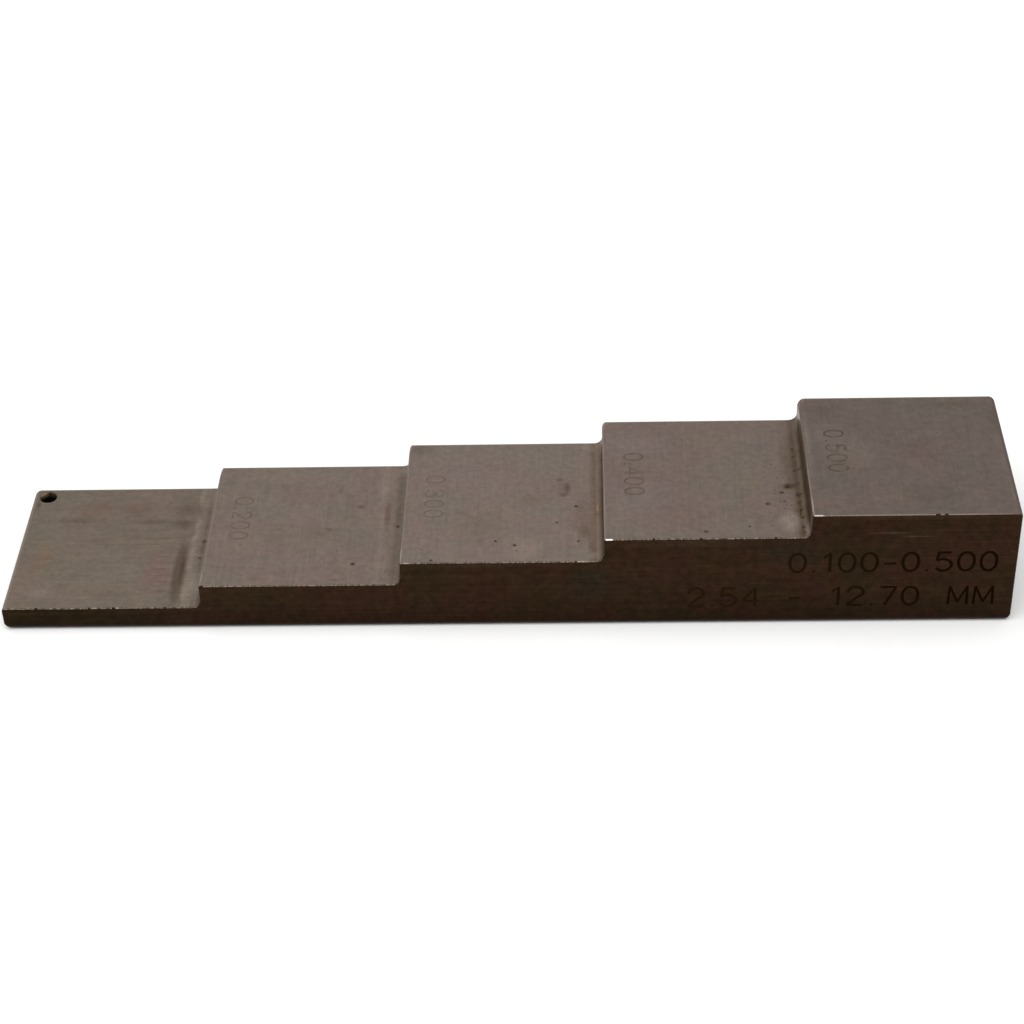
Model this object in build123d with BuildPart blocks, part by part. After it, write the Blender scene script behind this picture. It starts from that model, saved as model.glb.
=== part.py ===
from build123d import *

import os

# Thickness calibration block
#
# One bar of steel cut into a stair of flat treads. Every tread is a known height above the base,
# and a probe set down on it checks a thickness gauge.
#
# Millimetres, +Z up. The origin is the middle of the base. The treads climb towards +X, the
# lettered side faces -Y, and the hole is at the -X, +Y corner of the thinnest step.

# Driving dimensions

inch = 25.4

# The thickness of the first step, and the rise from each step to the next
step_count = 5
first_thickness = 0.100 * inch
step_rise = 0.100 * inch

# Each tread is a square pad for the probe
tread_length = 0.750 * inch
block_width = 0.750 * inch

# The end mill leaves this radius where a tread meets the riser behind it
root_radius = inch / 32

# The two back corners and the edges round the base are rounded by hand
back_corner_radius = 0.9
base_edge_radius = 0.6

# The stair's edges are eased along the back and the ends, and only broken along the front and on
# top of each riser, so the treads keep their full size there
back_edge_radius = 0.35
edge_break = 0.15

# The hole through the thinnest step, and the wall it leaves to the end and to the back
hole_diameter = inch / 16
hole_wall = 0.7

# Dimensions that follow

block_length = step_count * tread_length
thin_end = -block_length / 2
thick_end = block_length / 2
back_face = block_width / 2
tread_heights = [first_thickness + step_rise * n for n in range(step_count)]
hole_inset = hole_wall + hole_diameter / 2

with BuildPart() as step_block:
    # Side view of the stair: each tread adds its two ends to the outline
    with BuildSketch(Plane.XZ) as side_view:
        with BuildLine():
            stair = []
            for n, height in enumerate(tread_heights):
                tread_start = thin_end + tread_length * n
                stair += [(tread_start, height), (tread_start + tread_length, height)]
            Polyline((thin_end, 0), *stair, (thick_end, 0), close=True)
        make_face()
        # At each height between the base and the top tread, the corner nearest the thick end is a root
        levels = side_view.vertices().group_by(Axis.Y)[1:-1]
        roots = [level.sort_by(Axis.X)[-1] for level in levels]
        fillet(roots, root_radius)
    extrude(amount=block_width / 2, both=True)

    # Round the upright corner at each end of the back
    back_uprights = step_block.edges().filter_by(Axis.Z).group_by(Axis.Y)[-1].sort_by(Axis.X)
    fillet([back_uprights[0], back_uprights[-1]], back_corner_radius)

    # Round the edges that the block stands on
    fillet(step_block.edges().group_by(Axis.Z)[0], base_edge_radius)

    # Round the back edge of each tread. The rounding runs on up the riser behind the tread, and
    # from the first and last treads round the back corners and along the ends
    treads = step_block.faces().filter_by(Axis.Z).sort_by(Axis.Z)[1:]
    fillet([tread.edges().sort_by(Axis.Y)[-1] for tread in treads], back_edge_radius)

    # Break the front edge of each tread, which runs on up the riser, and the top edge of each riser
    treads = step_block.faces().filter_by(Axis.Z).sort_by(Axis.Z)[1:]
    risers = step_block.faces().filter_by(Axis.X).sort_by(Axis.X)[1:-1]
    front_edges = [tread.edges().sort_by(Axis.Y)[0] for tread in treads]
    riser_tops = [riser.edges().sort_by(Axis.Z)[-1] for riser in risers]
    fillet(front_edges + riser_tops, edge_break)

    # Drill the hole through the thinnest step
    with Locations((thin_end + hole_inset, back_face - hole_inset, first_thickness)):
        Hole(hole_diameter / 2)

step_block.part.label = "step_block"

os.makedirs("parts", exist_ok=True)
export_step(step_block.part, "parts/step_block.step")

print("length", round(block_length, 3), "volume", round(step_block.part.volume, 1))
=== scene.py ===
# %% [markdown]
# # A thickness calibration block in Blender
#
# The object is one bar of steel, cut into a stair of five flat treads. Each tread is a known
# height above the base, and the probe of a thickness gauge is set down on it. The CAD model gives
# the sizes and the place of everything. This lesson builds the same block again as a mesh that
# can carry what a plain solid can't: engraved numerals, rust pits, nicked edges and a worn finish.

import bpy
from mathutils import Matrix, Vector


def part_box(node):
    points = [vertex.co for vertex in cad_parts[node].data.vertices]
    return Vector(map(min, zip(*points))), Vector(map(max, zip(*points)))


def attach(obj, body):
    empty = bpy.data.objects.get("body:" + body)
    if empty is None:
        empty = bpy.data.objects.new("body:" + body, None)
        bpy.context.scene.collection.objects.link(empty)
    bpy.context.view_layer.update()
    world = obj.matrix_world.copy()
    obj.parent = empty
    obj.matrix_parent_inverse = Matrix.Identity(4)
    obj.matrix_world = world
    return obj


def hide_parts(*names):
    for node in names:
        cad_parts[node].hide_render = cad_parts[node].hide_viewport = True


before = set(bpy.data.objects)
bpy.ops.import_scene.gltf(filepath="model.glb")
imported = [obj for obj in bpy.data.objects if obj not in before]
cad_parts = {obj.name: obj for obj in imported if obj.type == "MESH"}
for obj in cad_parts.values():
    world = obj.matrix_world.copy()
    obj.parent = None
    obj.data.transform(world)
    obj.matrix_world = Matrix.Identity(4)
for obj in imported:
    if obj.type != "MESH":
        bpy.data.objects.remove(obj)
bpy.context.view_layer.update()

# %% [markdown]
# ## Measures
#
# The block stands on z = 0 and its length runs along x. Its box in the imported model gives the
# length of a tread and the rise between treads, so the visual block can't drift away from the
# solid. The small roundings are written here once, in metres. They are those of the solid, apart
# from the bottom edges of the two ends, which are worn rounder.

# %% Measures of the block
import math
import random

import bmesh
import bpy
from mathutils import Matrix, Vector, noise

mm = 0.001
low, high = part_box("step_block")
step_count = 5
tread_length = (high.x - low.x) / step_count
rise = high.z / step_count
tread_starts = [low.x + tread_length * n for n in range(step_count)]
tread_heights = [rise * (n + 1) for n in range(step_count)]

root_radius = 25.4 / 32 * mm
back_corner_radius = 0.9 * mm
base_edge_radius = 0.6 * mm
base_end_radius = 0.95 * mm
back_edge_radius = 0.35 * mm
front_edge_radius = 0.15 * mm
hole_radius = 25.4 / 32 * mm
hole_inset = 0.7 * mm + hole_radius
print("tread", round(tread_length / mm, 3), "mm long, rise", round(rise / mm, 3), "mm")

# %% [markdown]
# ## The camera
#
# The camera stands where the photograph was taken from: in front of the block and well above it,
# turned a little clockwise. Its place was found by matching the corners and edges of the stair,
# with the rise between treads as the ruler. Three directions say how it is turned: what is right
# in the picture, what is down, and what is straight ahead.

# %% Camera
picture_right = Vector((0.999452, 0.018586, -0.027401))
picture_down = Vector((-0.010489, -0.607235, -0.794453))
picture_ahead = Vector((-0.031405, 0.794305, -0.606708))
camera_place = Vector((7.8916, -180.5399, 144.1471)) * mm
picture_pixels = 1024
focal_pixels = 2359.388


def add_object(name, data):
    """A new object in the scene"""
    made = bpy.data.objects.new(name, data)
    bpy.context.scene.collection.objects.link(made)
    return made


camera_data = bpy.data.cameras.new("camera")
camera_data.sensor_width = 36
camera_data.lens = focal_pixels / picture_pixels * camera_data.sensor_width
camera_data.clip_start, camera_data.clip_end = 0.01, 20
camera = add_object("camera", camera_data)
turn = Matrix((picture_right, -picture_down, -picture_ahead)).transposed()
camera.matrix_world = Matrix.Translation(camera_place) @ turn.to_4x4()
bpy.context.scene.camera = camera
print("lens", round(camera_data.lens, 2), "mm")

# %% [markdown]
# ## The finishes, by name
#
# A finish is a material. They are named first, because the pieces that cut the block carry their
# finish into it: the floor of an engraved line is dark from the start. Each tread has a finish of
# its own, for each has aged in its own way, and one material that held the stains of all five
# would be too large for the renderer. Their nodes come further down.

# %% Names of the finishes
tread_finishes = ["first_tread", "second_tread", "third_tread", "fourth_tread", "fifth_tread"]
other_finishes = ["ground_base", "side_with_painted_shade", "worn_edge", "engraved_line", "rust_pit", "rusty_hole"]
finishes = {name: bpy.data.materials.new(name) for name in tread_finishes + other_finishes}
finish_names = list(finishes)
print("finishes", finish_names)

# %% [markdown]
# ## The stair
#
# The real stair is milled down out of a bar. A mesh is easier to grow upwards: a flat grid of
# five squares is lifted by one rise, then the last four squares by another, and so on. The flat
# faces that the lifting leaves in strips are merged again, so that each side is one clean face.

# %% Grow the stair
def new_object(name, bm, materials=()):
    """A mesh object at the origin, made from a bmesh"""
    mesh = bpy.data.meshes.new(name)
    bm.to_mesh(mesh)
    bm.free()
    for material in materials:
        mesh.materials.append(material)
    return add_object(name, mesh)


def points_of(geometry):
    """The vertices among what an operator has made"""
    return [part for part in geometry if isinstance(part, bmesh.types.BMVert)]


stair = bmesh.new()
bmesh.ops.create_grid(stair, x_segments=step_count, y_segments=1, size=0.5)
bmesh.ops.scale(stair, verts=stair.verts, vec=(high.x - low.x, high.y - low.y, 1))
for n in range(step_count):
    rising = [f for f in stair.faces
              if f.normal.z > 0.5 and f.calc_center_median().x > tread_starts[n]
              and f.calc_center_median().z > rise * (n - 0.5)]
    lifted = bmesh.ops.extrude_face_region(stair, geom=rising)
    bmesh.ops.translate(stair, verts=points_of(lifted["geom"]), vec=(0, 0, rise))
    if n > 0:
        bmesh.ops.delete(stair, geom=rising, context="FACES")
    stair.normal_update()
bmesh.ops.recalc_face_normals(stair, faces=stair.faces)
bmesh.ops.dissolve_limit(stair, angle_limit=math.radians(1), verts=stair.verts, edges=stair.edges)
print("stair", len(stair.verts), "corners", len(stair.faces), "faces",
      "volume", round(stair.calc_volume() / mm ** 3, 1))

# %% [markdown]
# ## Roots and roundings
#
# The end mill leaves a radius at each root, where a tread meets the riser behind it. A bevel on
# the four inner edges makes it. All outer edges are rounded too, but not alike: a hand file has
# taken 0.9 mm off the back corners, and the front edges of the treads are only broken. The bottom
# edges of the two ends are worn a little rounder than the solid has them. Bevels of different
# widths that meet in a corner are best made in one go, so each edge gets a weight and one Bevel
# modifier reads them all.

# %% Round the roots
def middle(edge):
    """The middle of an edge"""
    return (edge.verts[0].co + edge.verts[1].co) / 2


def near(a, b):
    """Whether two measures agree to a hundredth of a millimetre"""
    return abs(a - b) < 0.01 * mm


roots = [e for e in stair.edges
         for start, height in zip(tread_starts[1:], tread_heights)
         if near(middle(e).x, start) and near(middle(e).z, height) and near(middle(e).y, 0)]
bmesh.ops.bevel(stair, geom=roots, offset=root_radius, offset_type="OFFSET", segments=8,
                profile=0.5, affect="EDGES", material=-1)
print("roots", len(roots))

# %% Weigh the outer edges
def rounding(edge):
    """The radius that an outer edge of the block is rounded to, or nothing for an inner edge"""
    along = (edge.verts[1].co - edge.verts[0].co).normalized()
    is_upright = abs(along.z) > 0.9
    is_outer = edge.calc_face_angle_signed() > 1
    place = middle(edge)
    at_end = near(place.x, low.x) or near(place.x, high.x)
    if near(place.z, 0):
        return base_end_radius if at_end else base_edge_radius
    if near(place.y, high.y):
        return back_corner_radius if at_end and is_upright else back_edge_radius
    if near(place.y, low.y):
        return front_edge_radius
    if at_end:
        return back_edge_radius
    return front_edge_radius if is_outer else 0


widest_rounding = max(base_end_radius, back_corner_radius)
weight = stair.edges.layers.float.new("bevel_weight_edge")
for edge in stair.edges:
    edge[weight] = rounding(edge) / widest_rounding
print("weighted edges", sum(1 for e in stair.edges if e[weight] > 0))

# %% Bevel the outer edges
def evaluated_mesh(piece):
    """The mesh of a piece with its modifiers worked in"""
    graph = bpy.context.evaluated_depsgraph_get()
    return bpy.data.meshes.new_from_object(piece.evaluated_get(graph), depsgraph=graph)


def work_in(piece):
    """Makes a piece's modifiers part of its mesh"""
    mesh = evaluated_mesh(piece)
    piece.modifiers.clear()
    piece.data = mesh


block = new_object("ground_step_block", stair, finishes.values())
ease = block.modifiers.new("rounded edges", "BEVEL")
ease.limit_method = "WEIGHT"
ease.width = widest_rounding
ease.segments = 6
ease.profile = 0.5
ease.use_clamp_overlap = False
work_in(block)
print("rounded block", len(block.data.polygons), "faces")

# %% [markdown]
# ## Which finish goes where
#
# The treads and the base are ground bright, the outer sides are painted a dark brown that stands in for their shade
# and dark reflection, and the rounded edges are dull where they look up and take the sides' painted shade where they
# look outwards.
# The same cutter made the roots, the risers and the treads, so these share a finish. A face's
# place and direction tell which it is.

# %% Give each face its finish
just_past = 0.005 * mm
flat = 0.999
upward_in_front, upward = 0.5, 0.25


def finish_of(face):
    """The name of the finish that a face of the rounded block has"""
    place, facing = face.center, face.normal
    if facing.z < -flat:
        return "ground_base"
    if place.z < base_edge_radius or facing.z < -0.02:
        return "side_with_painted_shade"
    on_front = place.y < low.y + front_edge_radius
    on_back = place.y > high.y - back_edge_radius
    at_end = not low.x + back_edge_radius < place.x < high.x - back_edge_radius
    on_riser_top = any(start + just_past < place.x < start + front_edge_radius for start in tread_starts[1:])
    if facing.z > flat or not (on_front or on_back or at_end or on_riser_top):
        return tread_finishes[sum(place.x > start + just_past for start in tread_starts[1:])]
    # edges that look outwards take the sides' painted shade
    return "worn_edge" if facing.z > (upward_in_front if on_front else upward) else "side_with_painted_shade"


for face in block.data.polygons:
    face.material_index = finish_names.index(finish_of(face))
for index, name in enumerate(finish_names):
    print(name, sum(1 for f in block.data.polygons if f.material_index == index), "faces")

# %% [markdown]
# ## The hole
#
# A small hole goes through the thinnest step, in its back corner, for the wire of a tag. It is
# drilled, and its mouth is a little worn. The cutter is a cylinder with a flare at the top and
# the bottom. It is made from one circle that is extruded three times and scaled at each flare.

# %% Cutter for the hole
hole_centre = Vector((low.x + hole_inset, high.y - hole_inset, 0))
flare = 0.07 * mm
past = 0.2 * mm
mouth_radius = hole_radius + flare + past
drill = bmesh.new()
ring = bmesh.ops.create_circle(drill, segments=48, radius=mouth_radius)["verts"]
bmesh.ops.translate(drill, verts=ring, vec=hole_centre + Vector((0, 0, -past)))
bmesh.ops.contextual_create(drill, geom=ring)
rim = list({e for v in ring for e in v.link_edges})
for height, radius in [(flare, hole_radius), (rise - flare, hole_radius), (rise + past, mouth_radius)]:
    risen = bmesh.ops.extrude_edge_only(drill, edges=rim)["geom"]
    ring = points_of(risen)
    rim = [e for e in risen if isinstance(e, bmesh.types.BMEdge) and all(v in ring for v in e.verts)]
    for v in ring:
        outward = (v.co - hole_centre).xy.normalized() * radius
        v.co = (hole_centre.x + outward.x, hole_centre.y + outward.y, height)
bmesh.ops.contextual_create(drill, geom=ring)
bmesh.ops.recalc_face_normals(drill, faces=drill.faces)
print("hole", round(2 * hole_radius / mm, 3), "mm wide, centre", [round(c / mm, 2) for c in hole_centre])
hole_cutter = new_object("hole_cutter", drill, [finishes["rusty_hole"]])

# %% [markdown]
# ## Rubbed corners
#
# Where the top of each riser reaches the back, handling has rubbed the corner rounder than the
# edges beside it. The cutter is a quarter of a ring. One short edge is spun through a quarter
# turn, and the strip that it sweeps is pushed along y. Its front end leans out of the steel, so
# the rounding fades away along the riser.

# %% Cutters for the rubbed corners
def open_edges(bm):
    """How many edges don't join two faces. A closed mesh has none"""
    return sum(1 for e in bm.edges if len(e.link_faces) != 2)


corner_radii = [0.62 * mm, 0.62 * mm, 0.85 * mm, 1.20 * mm]
corner_reach = 3.2 * mm
clearance = 0.01 * mm
ring_inside, ring_outside = 1, 1.6
spin_steps = 8
corner_rings = bmesh.new()
for start, height, radius in zip(tread_starts[1:], tread_heights[1:], corner_radii):
    centre = Vector((start + radius - clearance, high.y + past, height - radius + clearance))
    ends = [bmesh.ops.create_vert(corner_rings, co=centre - Vector((reach * radius, 0, 0)))["vert"][0]
            for reach in (ring_inside, ring_outside)]
    swept_edge = corner_rings.edges.new(ends)
    spun = bmesh.ops.spin(corner_rings, geom=[*ends, swept_edge], cent=centre, axis=(0, 1, 0),
                          angle=math.radians(90), steps=spin_steps, use_merge=False)
    strip = {f for v in points_of(spun["geom_last"]) for f in v.link_faces}
    for step in range(spin_steps):
        strip |= {f for face in strip for edge in face.edges for f in edge.link_faces}
    pushed = bmesh.ops.extrude_face_region(corner_rings, geom=list(strip), use_keep_orig=True)
    lean = 0.35 * radius
    bmesh.ops.translate(corner_rings, verts=points_of(pushed["geom"]), vec=(-lean, -corner_reach - past, lean))
bmesh.ops.recalc_face_normals(corner_rings, faces=corner_rings.faces)
print("corner cutters", len(corner_rings.faces), "faces, open edges", open_edges(corner_rings))
corner_cutter = new_object("corner_cutter", corner_rings, [finishes["worn_edge"]])

# %% [markdown]
# ## Signs as strokes
#
# The numbers on this block are cut by an engraver that follows a single line. Each sign is drawn
# as one or two strokes in a cell one unit wide and one tall. A stroke is a closed loop, a smooth
# curve or a run of straight pieces.

# %% Draw the signs
loop, curved, straight = "loop", "curved", "straight"
sign_strokes = {
    "0": [(loop, [(0.5, 0), (1, 0.5), (0.5, 1), (0, 0.5)])],
    ".": [(straight, [(0.5, -0.01), (0.5, 0.07)])],
    "-": [(straight, [(0, 0.42), (1, 0.42)])],
    "1": [(straight, [(0.1, 0.77), (0.75, 1), (0.75, 0)])],
    "2": [(curved, [(0, 0.72), (0.22, 0.97), (0.78, 0.97), (1, 0.72), (0.55, 0.38), (0, 0)]),
          (straight, [(0, 0), (1, 0)])],
    "3": [(curved, [(0, 0.84), (0.45, 1), (0.95, 0.77), (0.42, 0.53)]),
          (curved, [(0.42, 0.53), (1, 0.27), (0.5, 0), (0, 0.16)])],
    "4": [(straight, [(0.78, 0), (0.78, 1), (0, 0.3), (1, 0.3)])],
    "5": [(straight, [(0.92, 1), (0.14, 1), (0.06, 0.56)]),
          (curved, [(0.06, 0.56), (0.5, 0.64), (1, 0.32), (0.5, 0), (0, 0.14)])],
    "7": [(straight, [(0, 1), (1, 1), (0.32, 0)])],
    "M": [(straight, [(0, 0), (0.04, 1), (0.5, 0.12), (0.96, 1), (1, 0)])],
}
print("signs", "".join(sign_strokes))

# %% [markdown]
# ## Strokes as round bars
#
# A stroke becomes a curve with a round section, like the tip of the cutter, and then a mesh. Where
# straight pieces meet in a corner, the corner is replaced by two points close to it, for a curve's
# section would be pinched in a sharp turn.

# %% Turn a stroke into a bar
def eased(points, cut=0.04):
    """The points of a run of straight pieces, with each corner replaced by two points close to it"""
    points = [Vector(p) for p in points]
    made = [points[0]]
    for before, corner, after in zip(points, points[1:], points[2:]):
        made += [corner + (other - corner).normalized() * cut for other in (before, after)]
    return made + [points[-1]]


def stroke_mesh(stroke, place, width, height, tip):
    """One stroke of a sign as a round bar, moved to its place"""
    kind, points = stroke
    if kind == straight:
        points = eased(points)
    curve = bpy.data.curves.new("stroke", "CURVE")
    curve.dimensions = "3D"
    curve.bevel_depth = tip
    curve.bevel_resolution = 2
    curve.resolution_u = 7
    curve.use_fill_caps = True
    spline = curve.splines.new("BEZIER")
    spline.bezier_points.add(len(points) - 1)
    for point, (across, up) in zip(spline.bezier_points, points):
        point.co = (across * width, up * height, 0)
        point.handle_left_type = point.handle_right_type = "VECTOR" if kind == straight else "AUTO"
    spline.use_cyclic_u = kind == loop
    drawn = add_object("stroke", curve)
    mesh = evaluated_mesh(drawn)
    mesh.transform(place)
    bpy.data.objects.remove(drawn)
    return mesh


print("a corner between two pieces gets", len(eased([(0, 0), (0, 1), (1, 1)])) - 2, "points")

# %% [markdown]
# ## Bars as cutters
#
# The first strokes of all signs make one cutter and the second strokes another, because the
# second stroke of a sign starts where its first one ends.

# %% Join the bars of many signs
weld_distance = 0.0005 * mm


def sign_bars(sign, corner, turn, width, height, tip):
    """The strokes of a sign, numbered, with the sign's lower left corner at a place"""
    return [(n, stroke_mesh(stroke, Matrix.Translation(corner) @ turn, width, height, tip))
            for n, stroke in enumerate(sign_strokes.get(sign, []))]


def joined(name, meshes, material):
    """One object from several meshes, with its faces turned outwards"""
    whole = bmesh.new()
    for mesh in meshes:
        whole.from_mesh(mesh)
        bpy.data.meshes.remove(mesh)
    bmesh.ops.remove_doubles(whole, verts=whole.verts, dist=weld_distance)
    bmesh.ops.recalc_face_normals(whole, faces=whole.faces)
    for face in whole.faces:
        face.material_index = 0
    return new_object(name, whole, [material])


def stroke_cutters(bars):
    """One cutter for the first strokes of all signs, and one for their second strokes"""
    print("strokes", len(bars))
    return [joined("stroke_cutter", [mesh for n, mesh in bars if n == number], finishes["engraved_line"])
            for number in (0, 1)]


print("signs of two strokes", [sign for sign, strokes in sign_strokes.items() if len(strokes) == 2])

# %% [markdown]
# ## The numerals
#
# Four of the treads are marked with their thickness. The numerals are tall and narrow, and they
# read from the back edge towards the front. The middle of the cutter's tip is held a little above
# the steel: the higher it is held, the narrower and shallower the line. The lines get fainter
# towards the thin end, where wear has nearly taken them off again.

# %% Cutters for the numerals
numeral_height = 1.77 * mm
numeral_width = 1.07 * mm
numeral_tip = 0.163 * mm
# how far the middle of each sign is from the middle of the first, in millimetres
sign_steps = (0, 1.15, 2.3, 3.9, 5.48)
# tread, text, place of the first sign along the tread and along y, and how high the tip is held, in millimetres
numerals = [(2, "0.200", 2.06, 3.75, 0.122), (3, "0.300", 1.95, 3.55, 0.117), (4, "0.400", 2.08, 3.43, 0.108),
            (5, "0.500", 2.10, 3.33, 0.105)]
# across a numeral is towards the front, and up is towards the thick end
numeral_turn = Matrix(((0, 1, 0, 0), (-1, 0, 0, 0), (0, 0, 1, 0), (0, 0, 0, 1)))

numeral_bars = []
for tread, text, inset, first_middle, held in numerals:
    for sign, step in zip(text, sign_steps):
        corner = Vector((tread_starts[tread - 1] + inset * mm, (first_middle - step) * mm + numeral_width / 2,
                         tread_heights[tread - 1] + held * mm))
        numeral_bars += sign_bars(sign, corner, numeral_turn, numeral_width, numeral_height, numeral_tip)
numeral_cutters = stroke_cutters(numeral_bars)

# %% [markdown]
# ## The marking on the front
#
# Two lines of plain lettering are marked on the front, at the thick end. Here they give the range
# of the treads, first in inches and then in millimetres. The lines are thin and shallow, and only
# a little darker than the side. Each line of lettering ends at the same place on the right, so it
# is set from its last sign backwards.

# %% Cutters for the front marking
letter_height = 2.14 * mm
letter_tip = 0.20 * mm
letter_held = 0.130 * mm
# the rest is in millimetres
letter_gap = 0.62
letter_width = 1.45
odd_widths = {".": 0.35, "-": 1.1, "1": 0.9, " ": 1.6, "M": 1.75}
marking_lines = [("0.100-0.500", 6.16), ("2.54 - 12.70 MM", 2.12)]
marking_right = 45.73
# across a letter is along x, and up is along z
letter_turn = Matrix(((1, 0, 0, 0), (0, 0, -1, 0), (0, 1, 0, 0), (0, 0, 0, 1)))

marking_bars = []
for text, baseline in marking_lines:
    right = marking_right
    for sign in reversed(text):
        width = odd_widths.get(sign, letter_width)
        corner = Vector(((right - width) * mm, low.y - letter_held, baseline * mm))
        marking_bars += sign_bars(sign, corner, letter_turn, width * mm, letter_height, letter_tip)
        right -= width + letter_gap
    print(text, "starts at", round(right + letter_gap, 2), "mm")
marking_cutters = stroke_cutters(marking_bars)

# %% [markdown]
# ## Rust pits
#
# Rust has eaten small pits into the treads, most of them along the last root. Each cutter is a
# ball, pressed flat and roughened, with its middle on the steel. Places and widths are in
# millimetres. A fixed seed draws the finest pits, so that they fall the same way each time. A pit
# that would touch another or reach an edge is left out.

# %% Places of the pits
large_pits = {
    1: [(-29.5, 0.6, 0.34), (-29.6, -2.0, 0.26), (-41.9, -4.3, 0.11), (-38.8, 1.2, 0.1)],
    2: [(-14.27, -6.3, 0.34), (-10.3, -0.65, 0.3), (-15.9, -4.3, 0.13), (-16.8, -7.1, 0.11), (-12.1, -7.4, 0.12),
        (-11.1, -7.4, 0.13), (-10.7, -8.1, 0.11), (-13.3, -7.4, 0.1), (-18.1, -7.3, 0.1), (-22.7, -6.8, 0.1),
        (-21.7, -6.9, 0.1), (-20.9, -6.1, 0.1)],
    3: [(6.93, -1.0, 0.3), (5.1, -3.5, 0.22), (1.17, -6.95, 0.28), (-0.65, -6.3, 0.24), (-0.27, -6.0, 0.11),
        (0.66, -5.0, 0.11), (-7.64, -7.35, 0.13), (-6.6, -9.1, 0.24), (7.14, -6.4, 0.22), (8.3, -6.8, 0.13),
        (8.5, -7.9, 0.13), (1.4, -7.7, 0.1), (-0.9, -6.9, 0.1)],
    4: [(26.95, -1.57, 0.66), (27.56, -1.35, 0.22), (27.95, -1.2, 0.28), (27.8, 4.3, 0.26),
        (27.8, 3.1, 0.26), (27.85, 1.9, 0.1), (27.88, 0.95, 0.4), (28.3, 1.0, 0.24), (26.3, -2.55, 0.34),
        (27.88, -2.95, 0.48), (27.9, -4.2, 0.28), (27.93, -5.3, 0.32), (28.0, -6.5, 0.3), (27.95, -7.9, 0.28),
        (28.0, -8.7, 0.26), (24.9, -4.27, 0.36), (25.6, -2.7, 0.14), (25.7, -2.1, 0.13), (26.3, -1.6, 0.13),
        (26.1, -4.0, 0.14), (26.5, -3.9, 0.2), (26.4, -5.0, 0.14), (26.9, -6.0, 0.13), (26.0, 1.4, 0.11),
        (23.0, -7.7, 0.22), (18.95, -8.4, 0.3), (16.7, -4.3, 0.13), (24.1, -7.4, 0.11), (24.7, -7.2, 0.1),
        (25.1, -7.6, 0.11), (25.8, -7.5, 0.1), (23.9, 5.2, 0.11)],
    5: [(41.3, 3.3, 0.14), (44.7, -5.9, 0.13), (36.6, -7.0, 0.1)],
}
random.seed(7)
fine_pits = {
    2: [(random.uniform(-27, -10.2), random.uniform(-9, 0), random.uniform(0.06, 0.11)) for n in range(10)],
    3: [(random.uniform(3, 8.8), random.uniform(-9, 2), random.uniform(0.06, 0.11)) for n in range(10)],
    4: [(random.gauss(26.8, 0.9), random.gauss(-3.5, 3.4), random.uniform(0.06, 0.15)) for n in range(26)],
}
pit_places = [(tread, *pit) for group in (large_pits, fine_pits) for tread in group for pit in group[tread]]
riser_keep, front_keep, back_keep = 0.25, 0.3, 0.5
pit_spacing = 0.6
kept_pits = []
for tread, x, y, width in pit_places:
    left = tread_starts[tread - 1] / mm + riser_keep
    right = left + tread_length / mm - 2 * riser_keep
    clear = all(math.hypot(x - a, y - b) > pit_spacing * (width + w) for t, a, b, w in kept_pits)
    if left < x < right and clear and low.y / mm + front_keep < y < high.y / mm - back_keep:
        kept_pits.append((tread, x, y, width))
print("pits", len(kept_pits), "of", len(pit_places))

# %% Cutter for the pits
def rough_ball(roughness, ripples, seed, size, place):
    """A ball one unit wide, roughened by noise, then stretched to its size and moved to its place"""
    ball = bmesh.new()
    bmesh.ops.create_icosphere(ball, subdivisions=2, radius=0.5)
    for v in ball.verts:
        v.co *= 1 + roughness * noise.noise(v.co * ripples + Vector(seed))
    bmesh.ops.scale(ball, verts=ball.verts, vec=Vector(size) * mm)
    bmesh.ops.translate(ball, verts=ball.verts, vec=place)
    mesh = bpy.data.meshes.new("ball")
    ball.to_mesh(mesh)
    ball.free()
    return mesh


def steel_height(tread, x):
    """How high the steel is at a place on a tread, or on the root behind it"""
    to_riser = tread_starts[tread - 1] + tread_length - x
    rounded = max(0, root_radius - to_riser)
    return tread_heights[tread - 1] + root_radius - math.sqrt(root_radius ** 2 - rounded ** 2)


pit_roughness, pit_ripples, pit_depth = 0.55, 7, 0.45
pit_balls = [rough_ball(pit_roughness, pit_ripples, (x, y, 0), (width, width, pit_depth * width),
                        (x * mm, y * mm, steel_height(tread, x * mm)))
             for tread, x, y, width in kept_pits]
pit_cutter = joined("pit_cutter", pit_balls, finishes["rust_pit"])
print("pit cutter", len(pit_cutter.data.polygons), "faces")

# %% [markdown]
# ## Nicks
#
# The front edges have small nicks where the block has knocked against others. They are cut the same way as the pits,
# with longer balls, and take the dark brown of the side below them, which is painted shade. The longer a nick, the
# deeper it is.

# %% Cutter for the nicks
# tread, middle x and length, in millimetres
nicks = [(5, 39.93, 0.55), (5, 40.69, 0.50), (4, 18.4, 0.30), (4, 25.3, 0.35), (4, 14.1, 0.30), (3, 6.9, 0.30),
         (2, -28.3, 0.40), (1, -39.2, 0.35), (1, -36.9, 0.40), (1, -44.3, 0.35), (1, -32.0, 0.30)]
nick_roughness, nick_ripples = 0.3, 3
nick_balls = [rough_ball(nick_roughness, nick_ripples, (x, tread, 0),
                         (length, 0.25 + 0.2 * length, 0.14 + 0.16 * length),
                         (x * mm, low.y + 0.02 * mm, tread_heights[tread - 1] + 0.01 * mm))
              for tread, x, length in nicks]
# the nicks take the sides' finish, whose dark brown is painted shade
nick_cutter = joined("nick_cutter", nick_balls, finishes["side_with_painted_shade"])
print("nicks", len(nicks))

# %% [markdown]
# ## Cut the block
#
# Boolean modifiers take all cutters out of the block. The exact solver is slow but leaves a
# closed mesh. It is told that a cutter may cross itself, as the strokes of a numeral do. The
# transfer mode gives the walls of a cut the cutter's finish. Then the cutters have done their
# work and go.

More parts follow.
